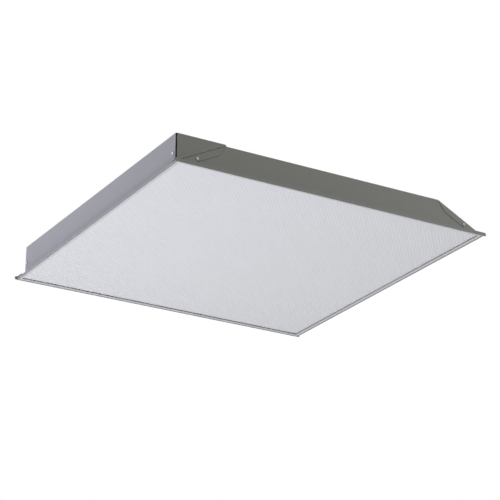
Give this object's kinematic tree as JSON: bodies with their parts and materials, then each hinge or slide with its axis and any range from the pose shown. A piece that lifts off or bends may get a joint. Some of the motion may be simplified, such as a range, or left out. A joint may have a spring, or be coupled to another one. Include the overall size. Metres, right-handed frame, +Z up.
{
  "type": "recessed troffer light",
  "caption": "Shallow square recessed ceiling light with a folded steel housing, side wiring compartment and a hinged prismatic lens frame",
  "frame": {"origin": "middle of the square, level with the lower edges of the two end rails that stand on the ceiling grid", "axes": "+Z up into the ceiling, +Y along the folded housing channel, wiring compartment on the -X side, lens frame hinged along the +X side"},
  "size_m": [0.603, 0.603, 0.0608],
  "materials": {
    "housing_paint": "satin pale grey-white baked paint on folded sheet steel",
    "frame_paint": "satin white baked paint on a narrow formed frame",
    "lens_acrylic": "clear acrylic sheet with small cones pressed in rows at 45 degrees, milky from the film behind it",
    "diffuser_plastic": "thin matte white film",
    "zinc_steel": "bright zinc plate",
    "board_white": "white solder mask on a metal-cored board",
    "led_phosphor": "yellow phosphor gel in a white package",
    "white_nylon": "moulded nylon",
    "driver_case": "white powder coat on a folded case",
    "lead_sleeve": "pale PVC sleeve",
    "ground_green": "green passivated steel",
    "black_nylon": "moulded black nylon"
  },
  "bodies": {
    "housing": {"housing_body": "housing_paint", "end_plate_front": "housing_paint", "end_plate_rear": "housing_paint", "compartment_cover": "housing_paint", "compartment_end_front": "housing_paint", "compartment_end_rear": "housing_paint", "led_board_1": "board_white", "led_board_2": "board_white", "led_board_3": "board_white", "led_board_4": "board_white", "led_packages": "led_phosphor", "board_connectors": "white_nylon", "board_screws": "zinc_steel", "driver_brackets": "zinc_steel", "terminal_bracket": "zinc_steel", "led_driver": "driver_case", "terminal_block": "white_nylon", "driver_screws": "zinc_steel", "terminal_screw": "zinc_steel", "bracket_screws": "zinc_steel", "input_leads": "lead_sleeve", "output_harness": "lead_sleeve", "wire_bushing": "black_nylon", "flap_screws": "zinc_steel", "cover_screws": "zinc_steel", "end_plate_rivets": "zinc_steel", "access_pivot_screw": "zinc_steel", "access_lock_screw": "zinc_steel", "compartment_rivets": "zinc_steel", "ground_screw": "ground_green"},
    "lens_door": {"frame_rail_latch": "frame_paint", "frame_rail_hinge": "frame_paint", "frame_rail_front": "frame_paint", "frame_rail_rear": "frame_paint", "corner_keys": "zinc_steel", "lens_panel": "lens_acrylic", "diffuser_film": "diffuser_plastic", "hinge_blocks": "zinc_steel", "hinge_pins": "zinc_steel"},
    "latch_cam_front": {"latch_front": "zinc_steel"},
    "latch_cam_rear": {"latch_rear": "zinc_steel"},
    "access_cover": {"access_plate": "housing_paint"}
  },
  "joints": [
    {"name": "lens_door_hinge", "type": "hinge", "parent": "housing", "child": "lens_door", "pos_m": [0.294, 0, 0.0025], "axis": [0, -1, 0], "range_deg": [0, 90]},
    {"name": "latch_front_turn", "type": "hinge", "parent": "lens_door", "child": "latch_cam_front", "pos_m": [-0.268, -0.298, 0.0008], "axis": [0, 0, 1], "range_deg": [0, 90]},
    {"name": "latch_rear_turn", "type": "hinge", "parent": "lens_door", "child": "latch_cam_rear", "pos_m": [-0.268, 0.298, 0.0008], "axis": [0, 0, -1], "range_deg": [0, 90]},
    {"name": "access_plate_swing", "type": "hinge", "parent": "housing", "child": "access_cover", "pos_m": [-0.22, -0.121, 0.0587], "axis": [0, 0, 1], "range_deg": [0, 90]}
  ]
}
